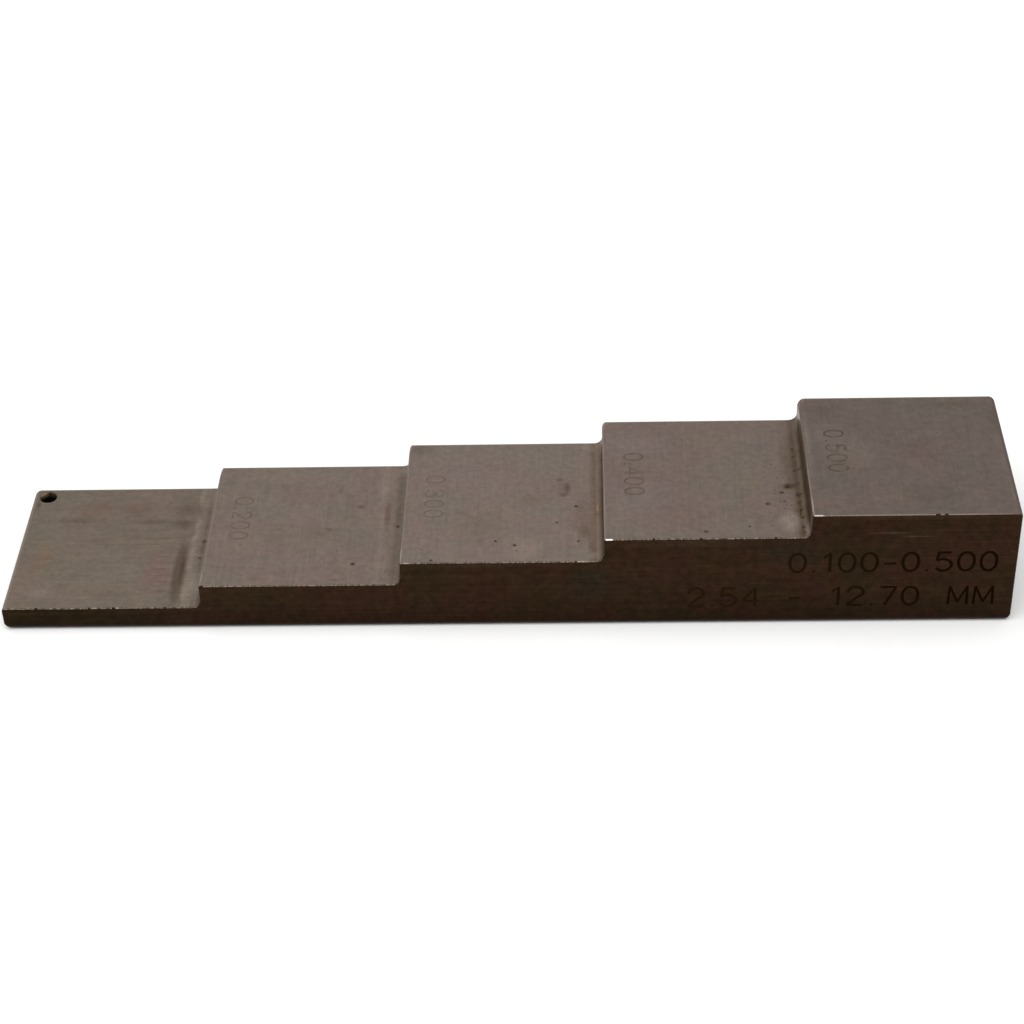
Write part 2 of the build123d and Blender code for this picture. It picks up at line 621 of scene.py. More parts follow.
# %% Cut everything
for cutter in (hole_cutter, corner_cutter, *numeral_cutters, *marking_cutters, pit_cutter, nick_cutter):
    cut = block.modifiers.new(cutter.name, "BOOLEAN")
    cut.object = cutter
    cut.operation = "DIFFERENCE"
    cut.solver = "EXACT"
    cut.use_self = True
    cut.material_mode = "TRANSFER"
    work_in(block)
    bpy.data.objects.remove(cutter)
    check = bmesh.new()
    check.from_mesh(block.data)
    print(len(check.faces), "faces, open edges", open_edges(check), "volume", round(check.calc_volume() / mm ** 3, 2))
    check.free()

# %% [markdown]
# ## Shading the mesh
#
# The flat faces have to stay flat right up to the small roundings. Edges sharper than 35 degrees
# are marked sharp, the rest is smooth, and the Weighted Normal modifier lets the largest face at
# a corner decide which way the surface looks there.

# %% Normals
block.data.shade_smooth()
block.data.set_sharp_from_angle(angle=math.radians(35))
flat_faces = block.modifiers.new("flat faces stay flat", "WEIGHTED_NORMAL")
flat_faces.keep_sharp = True
print("triangles", sum(len(p.vertices) - 2 for p in block.data.polygons),
      "finishes", [m.name for m in block.data.materials])

# %% [markdown]
# ## A way to write nodes
#
# A material is a tree of nodes. A few small helpers make the trees short to write. A value is a
# constant or what another node puts out, and a new node goes into the tree that its values come
# from. All patterns are measured in millimetres from the middle of the base, so a number in a
# material is a length that could be checked on the block with a ruler.

# %% Helper that adds a node
def feed(socket, value):
    """Sets a socket to a constant, or links it to what a node puts out"""
    if isinstance(value, bpy.types.Node):
        value = value.outputs[0]
    if isinstance(value, bpy.types.NodeSocket):
        socket.id_data.links.new(value, socket)
    else:
        socket.default_value = (*value, 1) if socket.type == "RGBA" else value


def add(kind, settings=None, tree=None, **sockets):
    """A node of that kind. Sockets are named with underscores for spaces, or numbered as _0, _1"""
    if tree is None:
        tree = next(value.id_data for value in sockets.values()
                    if isinstance(value, (bpy.types.Node, bpy.types.NodeSocket)))
    node = tree.nodes.new("ShaderNode" + kind)
    for name, value in (settings or {}).items():
        setattr(node, name, value)
    for name, value in sockets.items():
        feed(node.inputs[int(name[1:]) if name[1:].isdigit() else name.replace("_", " ")], value)
    return node


print("helpers", feed.__name__, add.__name__)

# %% Helpers for the nodes that are used most
def calculate(operation, a, b=0.0, c=0.0):
    """A Math node"""
    return add("Math", {"operation": operation}, _0=a, _1=b, _2=c)


def times(a, b):
    """One value times another"""
    return calculate("MULTIPLY", a, b)


def scaled(value, factor, shift):
    """A value times a factor, plus a shift"""
    return calculate("MULTIPLY_ADD", value, factor, shift)


def vector(operation, a, b=(0, 0, 0)):
    """A Vector Math node"""
    return add("VectorMath", {"operation": operation}, _0=a, _1=b)


def noise_at(place, scale, detail, **sockets):
    """A Noise Texture node"""
    return add("TexNoise", Vector=place, Scale=scale, Detail=detail, **sockets)


def blend(share, a, b, way="MIX"):
    """Colour a where share is 0 and colour b where it is 1"""
    return add("Mix", {"data_type": "RGBA", "blend_type": way}, _0=share, _6=a, _7=b).outputs[2]


def shaded(colour, value):
    """A colour made lighter or darker by a value"""
    return blend(1.0, colour, add("CombineColor", Red=value, Green=value, Blue=value), "MULTIPLY")


def ramp(value, start, end, low_value=0.0, high_value=1.0):
    """A smooth rise of a value between two limits"""
    return add("MapRange", {"interpolation_type": "SMOOTHSTEP"}, Value=value, From_Min=start, From_Max=end,
               To_Min=low_value, To_Max=high_value)


print("helpers", [helper.__name__ for helper in (calculate, times, scaled, vector, noise_at, blend, shaded, ramp)])

# %% Helpers for groups
def new_group(name, inputs, outputs):
    """An empty node group, the sockets that bring its inputs in, and those that take its outputs out"""
    tree = bpy.data.node_groups.new(name, "ShaderNodeTree")
    for way, sockets in (("INPUT", inputs), ("OUTPUT", outputs)):
        for socket_name, kind in sockets.items():
            tree.interface.new_socket(socket_name, in_out=way, socket_type="NodeSocket" + kind)
    print("group", name)
    return tree, tree.nodes.new("NodeGroupInput").outputs, tree.nodes.new("NodeGroupOutput").inputs


def use_group(group, tree=None, **sockets):
    """What a group puts out, when it is placed in a material or in another group"""
    return add("Group", {"node_tree": group}, tree, **sockets).outputs

# %% [markdown]
# ## Group: millimetres
#
# Object coordinates are in metres. This group scales them, and also says how far a point is from
# the riser ahead of it. That distance starts again at each tread, so it can be read against the
# same kind of scale at all four roots. It starts a hair past the riser, so that the riser's own
# face still counts as the end of its root.

# %% Millimetre group
hair = 0.02
millimetres, given, result = new_group(
    "millimetres", {}, {"Place": "Vector", "X": "Float", "Y": "Float", "Z": "Float", "To Riser": "Float"})
in_metres = add("TexCoord", tree=millimetres).outputs["Object"]
place = add("VectorMath", {"operation": "SCALE"}, Vector=in_metres, Scale=1 / mm)
axes = add("SeparateXYZ", Vector=place).outputs
along_tread = calculate("FLOORED_MODULO", calculate("SUBTRACT", axes["X"], low.x / mm + hair), tread_length / mm)
feed(result["Place"], place)
for axis in "XYZ":
    feed(result[axis], axes[axis])
feed(result["To Riser"], calculate("SUBTRACT", tread_length / mm - hair, along_tread))

# %% [markdown]
# ## Group: grinding lines
#
# A grinding wheel or a cutter leaves fine parallel lines. They are noise that is squeezed across
# the lines and stretched along them. Coarse and fine lines are added, and broken up a little, as
# worn lines are.

# %% Grinding line group
grinding_lines, given, result = new_group(
    "grinding lines", {"Place": "Vector", "Per Millimetre": "Vector"}, {"Lines": "Float"})
squeezed = vector("MULTIPLY", given["Place"], given["Per Millimetre"])
coarse = noise_at(squeezed, 1.0, 2, Roughness=0.6)
fine = noise_at(squeezed, 2.8, 3, Roughness=0.65)
broken = noise_at(given["Place"], 0.55, 2)
both = scaled(coarse, 0.45, times(fine, 0.55))
strength = ramp(broken, 0.3, 0.7, 0.45, 1.0)
feed(result["Lines"], scaled(calculate("SUBTRACT", both, 0.5), strength, 0.5))

# %% [markdown]
# ## Group: a stain
#
# Oil, fingers and damp have left stains of many sizes. Each is an oval patch with a ragged, soft
# border. One group makes any of them from its middle, its half widths, its softness and a push
# that bends its border. The push is a noise that is worked out once for all stains, because noise
# is the slow part.

# %% Stain group
# The same group also lays the painted glints, highlights and shade on the edges.
stain, given, result = new_group(
    "stain", {"Place": "Vector", "Push": "Vector", "Middle": "Vector", "Half Width": "Vector", "Ragged": "Float",
              "Soft": "Float"}, {"Mask": "Float"})
spread = add("VectorMath", {"operation": "SCALE"}, Vector=given["Push"], Scale=given["Ragged"])
share = vector("DIVIDE", vector("SUBTRACT", given["Place"], given["Middle"]), given["Half Width"])
flat_share = vector("MULTIPLY", vector("ADD", share, spread), (1, 1, 0))
reach = vector("LENGTH", flat_share).outputs["Value"]
feed(result["Mask"], ramp(reach, 1.0, calculate("SUBTRACT", 1.0, given["Soft"])))

# %% Lay stains on a colour
def push_of(place, per_millimetre):
    """A vector that wanders about zero, to bend the border of a stain"""
    return vector("SUBTRACT", noise_at(place, per_millimetre, 3).outputs["Color"], (0.5, 0.5, 0.5))


def stain_mask(place, push, x, y, half_x, half_y, ragged, soft=0.9):
    """Where a stain lies, and how strongly"""
    return use_group(stain, Place=place, Push=push, Middle=(x, y, 0), Half_Width=(half_x, half_y, 1),
                     Ragged=ragged, Soft=soft)["Mask"]


broad_stain = 0.8


def lay_stains(colour, stains, place, broad_push, small_push):
    """Lays stains on a colour, one after the other"""
    for stain_colour, amount, x, y, half_x, half_y, *border in stains.values():
        push = broad_push if min(half_x, half_y) > broad_stain else small_push
        mask = stain_mask(place, push, x, y, half_x, half_y, *border)
        colour = blend(times(mask, amount), colour, stain_colour)
    return colour


print("broad stains are over", 2 * broad_stain, "mm wide")

# %% [markdown]
# ## Finish: ground tread
#
# Ground steel that has aged: grey with a brown cast, cloudy with thin oxide, and fine lines from
# the grinding wheel. Each tread has aged in its own way, so each has its own ground colour. Then
# come the stains that this block shows, tread by tread.

# %% Colours of the treads
tread_colours = [(0.293, 0.234, 0.188), (0.324, 0.255, 0.219), (0.336, 0.267, 0.229), (0.306, 0.241, 0.21),
                 (0.254, 0.203, 0.177)]
olive_grey = (0.3, 0.246, 0.196)
red_brown = (0.29, 0.2, 0.16)
orange_brown = (0.325, 0.225, 0.155)
dark_maroon = (0.15, 0.098, 0.074)
dark_brown = (0.09, 0.055, 0.032)
shade_brown = (0.205, 0.15, 0.113)
pale_grey = (0.4, 0.328, 0.276)
pale_pink = (0.395, 0.308, 0.262)
violet_grey = (0.34, 0.262, 0.245)
orange_tan = (0.48, 0.33, 0.185)
bare_steel = (0.45, 0.368, 0.31)
print("treads", len(tread_colours))

# %% Stains of the first tread
# name: (colour, strength, middle x, middle y, half width x, half width y, ragged, soft if it isn't 0.9)
first_stains = {
    "olive field": (olive_grey, 0.7, -38.5, -3.6, 7.0, 5.6, 0.5),
    "dark ground round the hole": (dark_brown, 0.65, -46.2, 8.15, 1.3, 1.15, 0.5, 0.8),
    "tan spot beside the hole": ((0.25, 0.185, 0.13), 0.8, -46.6, 8.85, 0.45, 0.35, 0.5, 0.8),
    "brown shadow left of the hole": (dark_maroon, 0.55, -46.9, 6.9, 0.35, 1.1, 0.8),
    "red patch at the back": (red_brown, 0.75, -41.0, 6.1, 3.2, 1.7, 1.2),
    "second red patch at the back": (red_brown, 0.7, -37.0, 6.2, 2.4, 1.4, 1.2),
    "dark patch at the back": (shade_brown, 0.7, -31.9, 5.8, 1.8, 2.2, 0.8),
    "dark band at the back": (shade_brown, 0.55, -42.1, 4.1, 4.4, 0.55, 0.7),
    "dark core of the band": (dark_brown, 0.16, -43.2, 4.05, 2.4, 0.3, 0.3),
    "red end of the band": (dark_maroon, 0.34, -34.4, 3.8, 4.2, 0.5, 0.8),
    "maroon end of the band": (dark_maroon, 0.6, -31.7, 3.3, 1.5, 1.0, 0.8),
    "shade beside the root": (shade_brown, 0.5, -30.4, 5.6, 0.6, 2.2, 0.8),
    "shade behind the band": (shade_brown, 0.28, -36.6, 5.0, 2.2, 1.6, 1.0),
    "pale back end of the root": (pale_grey, 0.5, -29.4, 8.0, 0.7, 2.2, 0.5),
    "second band": (dark_maroon, 0.3, -33.6, 1.2, 3.0, 0.32, 0.6),
    "thin line": (shade_brown, 0.3, -37.2, 0.27, 5.4, 0.26, 0.2),
    "second thin line": (shade_brown, 0.25, -37.0, 2.4, 5.2, 0.25, 0.2),
    "thin line in front": (shade_brown, 0.16, -39.0, -2.6, 5.6, 0.22, 0.2),
    "orange patch at the left": (orange_brown, 0.65, -45.1, -1.9, 1.7, 3.7, 1.0),
    "pale corner at the front left": (pale_grey, 0.4, -44.5, -6.9, 2.0, 1.5, 1.0),
    "red patch in front": (red_brown, 0.3, -38.6, -7.0, 3.0, 1.4, 1.2),
    "small light scratch": (pale_grey, 0.7, -43.7, 6.1, 0.1, 1.0, 0.3),
    "pale foot of the root": (pale_grey, 0.6, -29.7, -6.4, 0.9, 3.6, 0.6, 0.8),
    "red patch by the root": ((0.315, 0.212, 0.182), 0.85, -33.5, -4.4, 2.3, 3.9, 1.0),
    "maroon stain by the root": (dark_maroon, 0.74, -31.38, -4.2, 0.85, 6.2, 0.3, 0.6),
    "dark core of the maroon stain": (dark_brown, 0.38, -31.15, -3.6, 0.34, 3.2, 0.4, 0.8),
}
# strength, middle x, middle y and half width x of the short marks across the maroon stain
cross_marks = [(0.28, -33.3, -1.7, 1.3), (0.28, -33.1, -2.7, 1.3), (0.30, -33.0, -3.6, 1.3),
               (0.28, -33.0, -4.6, 1.2), (0.35, -32.9, -5.6, 1.2), (0.35, -32.8, -7.0, 1.2)]
for n, mark in enumerate(cross_marks, start=1):
    first_stains[f"cross mark {n}"] = (dark_maroon, *mark, 0.16, 0.5)
print("first tread", len(first_stains), "stains")

# %% Stains of the second tread
second_stains = {
    "olive streak": (olive_grey, 0.6, -20.5, -2.0, 6.4, 3.0, 1.0),
    "olive patch": (olive_grey, 0.6, -15.2, 1.0, 2.0, 1.8, 1.0),
    "warm patch at the back": (pale_pink, 0.35, -20.0, 7.4, 6.0, 1.6, 1.0),
    "violet patch": (violet_grey, 0.6, -19.6, 1.7, 1.8, 2.4, 1.2),
    "pale band by the root": (pale_pink, 0.75, -11.9, 6.6, 1.3, 3.2, 0.6),
    "pale back end of the root": (pale_grey, 0.7, -10.1, 8.5, 0.6, 1.1, 0.6),
    "shade in the root": (shade_brown, 0.45, -10.25, 1.0, 0.38, 3.6, 0.4),
    "brown streak at the root": ((0.24, 0.158, 0.122), 0.85, -11.4, 1.4, 0.45, 3.0, 0.6),
    "red smudge": (dark_maroon, 0.6, -14.1, 2.6, 0.6, 0.55, 0.9),
    "dark arc": (shade_brown, 0.4, -16.2, 5.4, 0.35, 1.2, 1.0),
    "foot of the dark arc": (shade_brown, 0.35, -15.2, 4.4, 1.2, 0.3, 1.0),
    "soft grey spot": (shade_brown, 0.8, -16.85, -1.0, 0.5, 0.5, 0.8),
    "faint cloud by the spot": (shade_brown, 0.25, -17.6, -1.5, 1.4, 1.1, 1.2),
    "ring mark": (shade_brown, 0.35, -23.5, -8.4, 0.8, 0.6, 0.8, 0.7),
    "dash in front": (shade_brown, 0.65, -27.1, -6.6, 0.8, 0.14, 0.4),
    "dash on the front edge": (shade_brown, 0.55, -15.9, -8.7, 1.5, 0.16, 0.4),
    "rough front edge": (shade_brown, 0.2, -18.0, -7.2, 8.0, 0.8, 1.2),
}
print("second tread", len(second_stains), "stains")

# %% Stains of the third tread
third_stains = {
    "violet field": (violet_grey, 0.6, -4.5, 4.4, 4.8, 4.2, 1.0),
    "olive field": (olive_grey, 0.65, -2.2, -4.1, 4.6, 3.6, 1.0),
    "brown field in the middle": (red_brown, 0.4, 2.6, 0.0, 2.6, 1.7, 1.2),
    "pale spot in front": (pale_pink, 0.85, 2.2, -7.3, 2.6, 2.4, 1.0),
    "brown field by the root": (red_brown, 0.6, 7.7, -2.9, 1.6, 4.6, 1.0),
    "soft smudge": (shade_brown, 0.35, -4.2, -1.7, 0.7, 0.6, 1.2),
    "top of the hooked mark": (dark_maroon, 0.45, 5.35, 3.3, 0.65, 0.55, 0.5),
    "back of the hooked mark": (dark_maroon, 0.75, 6.1, 1.95, 0.5, 1.3, 0.5),
    "foot of the hooked mark": (dark_maroon, 0.6, 5.75, 0.85, 0.75, 0.5, 0.5),
    "shade inside the hooked mark": (shade_brown, 0.3, 5.5, 2.0, 1.0, 1.6, 0.8),
    # painted shade over a reflection at the back end of the riser
    "painted shade at the back end of the riser": ((0.08, 0.06, 0.044), 0.8, 9.52, 9.3, 0.3, 2.0, 0.2, 0.7),
    "shade at the back left corner": ((0.262, 0.208, 0.18), 0.9, -8.4, 8.6, 1.9, 1.5, 0.8),
    "pale back end of the root": (pale_grey, 0.45, 8.3, 8.5, 1.2, 1.3, 0.8),
    "pale front end of the root": (pale_grey, 0.45, 8.5, -8.6, 1.0, 0.9, 0.8),
    "olive shade by the root": (shade_brown, 0.58, 7.8, -5.0, 0.8, 1.6, 1.2),
    "dark speckle by the root": (shade_brown, 0.5, 8.3, -7.2, 0.5, 1.3, 1.6),
    "tan streak in the root": (orange_tan, 0.9, 8.98, -1.4, 0.16, 0.9, 0.3),
    "rusty scratch in the root": (dark_brown, 0.6, 8.95, -2.25, 0.3, 0.14, 0.3),
}
print("third tread", len(third_stains), "stains")

# %% Stains of the fourth tread
fourth_stains = {
    "violet field": (violet_grey, 0.7, 12.6, 5.4, 4.2, 3.4, 1.0),
    "violet field in front": (violet_grey, 0.5, 13.0, -3.0, 4.0, 4.4, 1.0),
    "olive field": (olive_grey, 0.6, 20.0, 6.0, 4.6, 2.6, 1.0),
    "olive cloud": (olive_grey, 0.65, 23.3, -1.0, 2.6, 3.0, 1.0),
    "red-brown cloud in front": (red_brown, 0.35, 17.5, -5.8, 4.2, 2.4, 1.0),
    "pale left side": (pale_pink, 0.35, 10.9, -5.5, 1.6, 3.6, 0.8),
    "bare patch": (bare_steel, 0.9, 26.75, -7.1, 1.3, 2.0, 1.1),
    "brown field by the root": (shade_brown, 0.6, 27.3, 1.8, 1.1, 6.8, 1.0),
    "rust streak at the front": (dark_brown, 0.4, 27.9, -8.0, 0.14, 1.4, 0.5),
    "pale front end of the root": (pale_grey, 0.6, 28.35, -8.6, 0.4, 1.2, 0.6, 0.8),
    # painted shade over a reflection at the back end of the riser
    "painted shade at the back end of the riser": ((0.06, 0.045, 0.032), 0.85, 28.57, 9.3, 0.3, 2.2, 0.2, 0.7),
    "rust round the largest pit": (dark_brown, 0.45, 27.2, -1.5, 1.0, 0.7, 1.2),
    "rust in the line of pits": (dark_brown, 0.35, 27.9, 2.0, 0.35, 3.6, 1.6),
    "rust below the line of pits": (dark_brown, 0.35, 27.95, -4.0, 0.35, 2.6, 1.6),
}
print("fourth tread", len(fourth_stains), "stains")

# %% Stains of the fifth tread
fifth_stains = {
    "violet corner": (violet_grey, 0.35, 31.0, 3.0, 3.4, 3.4, 1.0),
    "dark corner at the back left": (dark_maroon, 0.22, 31.0, 7.2, 3.0, 2.0, 1.2),
    "dark band at the back": (shade_brown, 0.4, 43.4, 8.0, 4.2, 0.7, 0.8),
    "pale patch": (pale_grey, 0.25, 33.6, 0.2, 3.6, 3.0, 1.0),
    "dark ring": (dark_maroon, 0.18, 39.4, 0.6, 3.8, 3.2, 1.0),
    "maroon patch in front": (dark_maroon, 0.2, 39.6, -6.4, 4.2, 2.2, 1.0),
    "curved mark at the right": (dark_maroon, 0.45, 45.4, -5.1, 0.55, 0.25, 0.8),
    "shade at the back right": ((0.195, 0.156, 0.136), 0.8, 47.0, 5.2, 0.9, 4.0, 0.8),
    "pale right rim": (pale_grey, 0.15, 46.9, 2.0, 0.5, 8.5, 0.6),
    "pale left rim": (pale_grey, 0.32, 29.0, 2.0, 0.5, 8.5, 0.6),
}
print("fifth tread", len(fifth_stains), "stains")

# %% [markdown]
# ## What damp and the cutter left at the roots
#
# Each root has its own stripes, which run along it: a dark line where the radius begins, a light
# band where the cutter's corner has burnished the steel, and brown oxide in the hollow. They are
# read from the riser outwards, in millimetres, as on a ruler that is laid across the root. Each
# stripe has its distance, its colour and how well it covers the steel.

# %% Colours of the stripes
hollow_brown = (0.125, 0.081, 0.052)
root_grey = (0.238, 0.186, 0.146)
root_tan = (0.318, 0.232, 0.17)
root_line = (0.205, 0.158, 0.12)
light_band = (0.395, 0.318, 0.262)
root_stripes = [
    [(0, hollow_brown, 1), (0.6, root_grey, 1), (0.77, (0.28, 0.22, 0.175), 1), (0.92, root_line, 1),
     (1.12, (0.26, 0.21, 0.17), 0.8), (1.45, (0.32, 0.26, 0.21), 0.7), (1.75, light_band, 0.85),
     (2.0, light_band, 0.8), (2.22, light_band, 0.0)],
    [(0, hollow_brown, 1), (0.3, (0.268, 0.21, 0.165), 1), (0.82, root_grey, 1),
     (1.1, (0.29, 0.225, 0.18), 0.9), (1.5, (0.33, 0.255, 0.205), 0.5), (1.9, (0.33, 0.26, 0.21), 0.2),
     (2.3, light_band, 0.6), (2.95, light_band, 0.0)],
    [(0, (0.152, 0.102, 0.068), 1), (0.22, (0.205, 0.143, 0.102), 1), (0.5, root_tan, 1),
     (0.78, (0.25, 0.175, 0.132), 1), (1.15, (0.29, 0.22, 0.175), 0.9), (1.6, (0.33, 0.26, 0.215), 0.4),
     (2.2, (0.33, 0.26, 0.215), 0.0)],
    [(0, (0.158, 0.106, 0.058), 1), (0.14, (0.133, 0.09, 0.05), 1), (0.38, (0.232, 0.172, 0.12), 1),
     (0.66, (0.16, 0.112, 0.074), 1), (0.92, (0.205, 0.15, 0.11), 0.95), (1.2, (0.262, 0.195, 0.156), 0.7),
     (1.8, (0.28, 0.215, 0.175), 0.4), (2.6, (0.28, 0.215, 0.175), 0.0)],
]
print("stripes", [len(stripes) for stripes in root_stripes])

# %% Lay the stripes of a root
stripe_reach = 3.0


def lay_stripes(colour, where, stripes):
    """Lays the stripes of one root on a colour. They sway a little, but not in the hollow itself"""
    uneven = noise_at(where["Place"], 0.7, 3)
    sway = times(calculate("SUBTRACT", uneven, 0.5), 0.7)
    distance = scaled(sway, ramp(where["To Riser"], 0.8, 1.3), where["To Riser"])
    scale = add("ValToRGB", Fac=calculate("DIVIDE", distance, stripe_reach))
    marks = scale.color_ramp.elements
    marks[0].position, marks[1].position = 0, 1
    for reach, mark_colour, cover in stripes[1:]:
        marks.new(reach / stripe_reach).color = (*mark_colour, cover)
    marks[0].color = (*stripes[0][1], stripes[0][2])
    marks[len(marks) - 1].color = (*stripes[-1][1], 0)
    strength = ramp(uneven, 0.35, 0.6, 1.0, 0.75)
    return blend(times(strength, scale.outputs["Alpha"]), colour, scale.outputs["Color"])


print("stripes reach", stripe_reach, "mm from a riser")

# %% [markdown]
# ## Groups: oxide clouds and ground marks
#
# Two effects are the same on all treads and on the base. Thin oxide makes clouds of a violet and
# an olive cast over the ground colour. Over everything lie the fine changes of lightness: mottle,
# and the grinding lines, which run along the first tread and across the others.

# %% Oxide cloud group
oxide_clouds, given, result = new_group(
    "oxide clouds", {"Place": "Vector", "Ground": "Color"}, {"Colour": "Color", "Roughness": "Float"})
clouds = noise_at(given["Place"], 0.16, 4, Roughness=0.55, Distortion=0.4)
patches = noise_at(given["Place"], 0.42, 5, Roughness=0.6)
violet_cast, olive_cast = (1.030, 0.985, 1.000), (0.970, 1.013, 1.000)
cast = blend(ramp(clouds, 0.36, 0.64), violet_cast, olive_cast)
clouded = blend(1.0, given["Ground"], cast, "MULTIPLY")
feed(result["Colour"], blend(ramp(patches, 0.52, 0.72, 0, 0.22), clouded, red_brown))
feed(result["Roughness"], scaled(patches, 0.16, 0.30))

# %% Ground mark group
ground_marks, given, result = new_group(
    "ground marks", {"Place": "Vector", "Per Millimetre": "Vector", "Colour": "Color"},
    {"Colour": "Color", "Height": "Float"})
mottle = noise_at(given["Place"], 1.7, 5, Roughness=0.7)
lines = use_group(grinding_lines, Place=given["Place"], Per_Millimetre=given["Per Millimetre"])["Lines"]
lightness = times(scaled(mottle, 0.70, 0.65), scaled(lines, 0.62, 0.69))
feed(result["Colour"], shaded(given["Colour"], lightness))
feed(result["Height"], lines)

# %% [markdown]
# ## Finishes: the treads and the base
#
# A tread's finish is put together in the order in which it came about. The ground colour with its
# clouds is first, then the stripes at its root, its stains, and a brown halo round each of its
# larger pits, and the ground marks are last. The base has no stains of its own, because the photo
# doesn't show it.

# %% Fill in a finish
def surface(name, make, **constants):
    """Fills in a finish: a Principled shader with constants, and with what the nodes of a maker put out"""
    finishes[name].use_nodes = True
    tree = finishes[name].node_tree
    tree.nodes.clear()
    shader = add("BsdfPrincipled", tree=tree, **constants)
    add("OutputMaterial", Surface=shader)
    for socket, value in make(use_group(millimetres, tree)).items():
        feed(shader.inputs[socket], value)
    print("finish", name, len(tree.nodes), "nodes")

# %% Finishes of the treads and the base
def ground_finish(ground, lines_per_millimetre, stripes=None, stains=None):
    """The maker of a ground finish"""
    def make(where):
        place = where["Place"]
        clouded = use_group(oxide_clouds, Place=place, Ground=ground)
        colour = clouded["Colour"]
        if stripes:
            colour = lay_stripes(colour, where, stripes)
        if stains:
            colour = lay_stains(colour, stains, place, push_of(place, 0.5), push_of(place, 2.4))
        marked = use_group(ground_marks, Place=place, Per_Millimetre=lines_per_millimetre, Colour=colour)
        bump = add("Bump", Height=marked["Height"], Strength=0.25, Distance=0.004 * mm)
        return {"Base Color": marked["Colour"], "Roughness": clouded["Roughness"], "Normal": bump}
    return make


# lines per millimetre along x and along y
lines_along, lines_across, soft_lines = (0.10, 1.6, 0.0), (3.2, 0.09, 0.0), (2.3, 0.09, 0.0)
tread_lines = [lines_along, soft_lines, soft_lines, lines_across, lines_across]
tread_stains = [first_stains, second_stains, third_stains, fourth_stains, fifth_stains]
larger_pit = 0.2
for n, name in enumerate(tread_finishes):
    halos = {f"halo {m}": (dark_brown, 0.75, x, y, 1.1 * width, 1.1 * width, 0.7)
             for m, (tread, x, y, width) in enumerate(kept_pits) if tread == n + 1 and width >= larger_pit}
    stripes = root_stripes[n] if n < len(root_stripes) else None
    surface(name, ground_finish(tread_colours[n], tread_lines[n], stripes, tread_stains[n] | halos), Metallic=1.0)
surface("ground_base", ground_finish(tread_colours[2], lines_along), Metallic=1.0)

# %% [markdown]
# ## Finish: brown side
#
# The outer sides were ground too. Their dark brown is painted shade and a painted dark reflection, with long fine
# lines; it is olive at the thin end, has two grey clouds further on, and is painted darker low down, as shade.
# Stains work here as on the treads, with z in the place of y.

# %% Finish of the sides
cloud_grey = (0.019, 0.0165, 0.0105)
scratch_light = (0.072, 0.053, 0.039)
side_stains = {
    "olive thin end": ((0.0205, 0.0136, 0.005), 0.8, -42.0, 1.4, 12.0, 5.0, 0.6),
    "grey cloud": (cloud_grey, 0.6, 8.2, 4.8, 3.6, 3.2, 1.0),
    "second grey cloud": (cloud_grey, 0.6, 27.0, 8.6, 4.2, 2.4, 1.0),
    "brown patch low down": ((0.033, 0.015, 0.006), 0.6, -5.1, 1.0, 3.2, 1.2, 1.0),
    "red-brown cloud": ((0.033, 0.015, 0.0095), 0.5, 14.5, 6.4, 4.0, 2.4, 1.0),
    "light band under the third tread": ((0.04, 0.0235, 0.014), 0.75, -1.0, 7.4, 9.6, 0.55, 0.6),
    "light band under the fourth tread": ((0.036, 0.021, 0.0125), 0.7, 18.0, 9.75, 9.6, 1.1, 0.6),
    "light band under the fifth tread": ((0.036, 0.0215, 0.013), 0.6, 37.0, 12.45, 9.8, 0.45, 0.6),
    "small light mark": ((0.052, 0.04, 0.029), 0.6, 22.0, 9.66, 0.3, 0.12, 0.5),
    "light scratch": (scratch_light, 0.6, 35.7, 10.66, 2.3, 0.13, 0.6),
    "end of the light scratch": (scratch_light, 0.6, 38.2, 10.22, 1.8, 0.13, 0.6),
}


def side_with_painted_shade(where):
    """A dark brown that is painted shade, with clouds, stains and long lines, and more painted shade low down"""
    place = where["Place"]
    # painted shade: this dark brown stands in for the shade and the dark reflection on the sides
    colour = blend(ramp(noise_at(place, 0.2, 4), 0.35, 0.65), (0.0302, 0.0136, 0.0074), (0.0254, 0.0146, 0.0066))
    on_side = add("CombineXYZ", X=where["X"], Y=where["Z"], Z=0.0)
    colour = lay_stains(colour, side_stains, on_side, push_of(on_side, 0.4), push_of(on_side, 1.6))
    mottle = noise_at(place, 1.4, 5, Roughness=0.65)
    lines = use_group(grinding_lines, Place=place, Per_Millimetre=(0.05, 0.05, 2.6))["Lines"]
    # painted shade: the sides get darker towards the bottom
    painted_shade_low_down = ramp(where["Z"], 0.2, 4.0, 0.72, 1.0)
    lightness = times(times(scaled(mottle, 1.4, 0.30), scaled(lines, 1.9, 0.05)), painted_shade_low_down)
    bump = add("Bump", Height=lines, Strength=0.3, Distance=0.006 * mm)
    return {"Base Color": shaded(colour, lightness), "Normal": bump}


surface("side_with_painted_shade", side_with_painted_shade, Metallic=1.0, Roughness=0.42)
